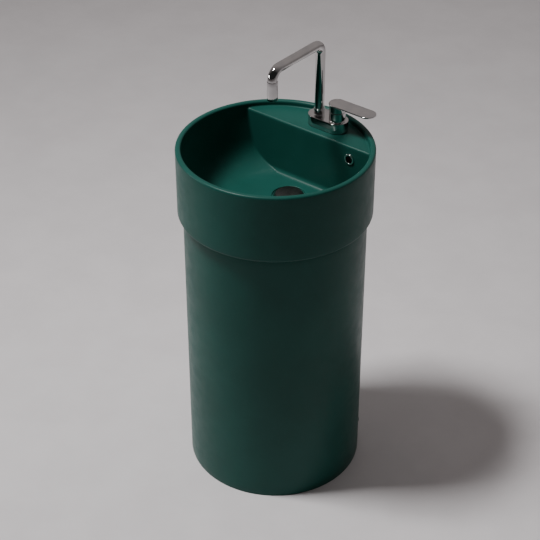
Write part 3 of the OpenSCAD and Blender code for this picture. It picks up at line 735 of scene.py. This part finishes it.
def floor():
    """Plain pale floor."""
    m = Nodes("stage_floor")
    grain = m.noise(6, 4, 0.6)
    color = m.mix(m.span(grain, 0.3, 0.7, 0, 1), (0.66, 0.64, 0.65), (0.70, 0.68, 0.69))
    material = m.finish(color, m.span(m.noise(30, 3), 0.3, 0.7, 0.5, 0.62))
    mesh = bpy.data.meshes.new("stage_floor")
    size = 16.0
    corners = [(-size, -size, 0), (size, -size, 0), (size, size, 0), (-size, size, 0)]
    mesh.from_pydata(corners, [], [(0, 1, 2, 3)])
    mesh.materials.append(material)
    obj = bpy.data.objects.new("stage_floor", mesh)
    bpy.context.scene.collection.objects.link(obj)


def area_light(name, where, target, size, power, color, spread):
    """Rectangular soft light that faces a point, with its spread in degrees."""
    light = bpy.data.lights.new(name, "AREA")
    light.shape = "RECTANGLE"
    light.size, light.size_y = size
    light.energy = power
    light.color = color
    light.spread = math.radians(spread)
    obj = bpy.data.objects.new(name, light)
    bpy.context.scene.collection.objects.link(obj)
    obj.location = where
    obj.rotation_mode = "QUATERNION"
    obj.rotation_quaternion = (target - where).to_track_quat("-Z", "Y")


VIEW_AZ = math.radians(38.2)
VIEW_PITCH = math.radians(34.65)
VIEW_YAW = math.radians(-0.25)
CAMERA_BACK = 2.745
CAMERA_UP = 2.4147
LENS = 95.67
SENSOR = 36.0
RIGHT = Vector((math.cos(VIEW_AZ), math.sin(VIEW_AZ), 0))
AWAY = Vector((-math.sin(VIEW_AZ), math.cos(VIEW_AZ), 0))
UP = Vector((0, 0, 1))


def lights():
    """Soft key high on the left and a weak low light beside it."""
    middle = Vector((0, 0, 0.6))
    key = middle - RIGHT * 2.1 - AWAY * 0.1 + UP * 4.6
    area_light("key", key, middle, (0.9, 0.9), 72, (1.0, 0.985, 0.98), 90)
    side = middle - RIGHT * 3.6 + AWAY * 0.5 + UP * 0.5
    area_light("side", side, middle, (0.3, 0.6), 3.0, (1.0, 0.99, 0.98), 60)


def world():
    """Light grey room behind and above, dark in front of the object."""
    scene_world = bpy.data.worlds.new("room")
    bpy.context.scene.world = scene_world
    scene_world.use_nodes = True
    tree = scene_world.node_tree
    tree.nodes.clear()
    out = tree.nodes.new("ShaderNodeOutputWorld")
    back = tree.nodes.new("ShaderNodeBackground")
    tree.links.new(back.outputs[0], out.inputs[0])
    place = tree.nodes.new("ShaderNodeTexCoord")
    dot = tree.nodes.new("ShaderNodeVectorMath")
    dot.operation = "DOT_PRODUCT"
    aim = (AWAY * 0.72 + UP * 0.50 + RIGHT * 0.30).normalized()
    dot.inputs[1].default_value = aim
    tree.links.new(place.outputs["Generated"], dot.inputs[0])
    ramp = tree.nodes.new("ShaderNodeValToRGB")
    ramp.color_ramp.elements[0].position = 0.45
    ramp.color_ramp.elements[0].color = (0.02, 0.02, 0.02, 1)
    ramp.color_ramp.elements[1].position = 0.85
    ramp.color_ramp.elements[1].color = (0.34, 0.31, 0.305, 1)
    half = tree.nodes.new("ShaderNodeMath")
    half.operation = "MULTIPLY_ADD"
    half.inputs[1].default_value = 0.5
    half.inputs[2].default_value = 0.5
    tree.links.new(dot.outputs["Value"], half.inputs[0])
    tree.links.new(half.outputs[0], ramp.inputs[0])
    tree.links.new(ramp.outputs[0], back.inputs[0])
    back.inputs[1].default_value = 1.0


def camera():
    """Camera at the photographed angle: right of the front, looking down on the bowl."""
    data = bpy.data.cameras.new("camera")
    data.sensor_width = SENSOR
    data.lens = LENS
    obj = bpy.data.objects.new("camera", data)
    bpy.context.scene.collection.objects.link(obj)
    obj.location = -AWAY * CAMERA_BACK + UP * CAMERA_UP
    level = RIGHT * math.sin(VIEW_YAW) + AWAY * math.cos(VIEW_YAW)
    look = level * math.cos(VIEW_PITCH) - UP * math.sin(VIEW_PITCH)
    obj.rotation_mode = "QUATERNION"
    obj.rotation_quaternion = look.to_track_quat("-Z", "Y")
    bpy.context.scene.camera = obj


dress_cad_nodes()
basin()
pedestal()
overflow_ring()
waste_flange()
waste_cap()
tap_base()
turret_dome()
lever_hub()
lever_plate()
spout_tube()
spout_collar()
aerator_sleeve()
floor()
lights()
world()
camera()
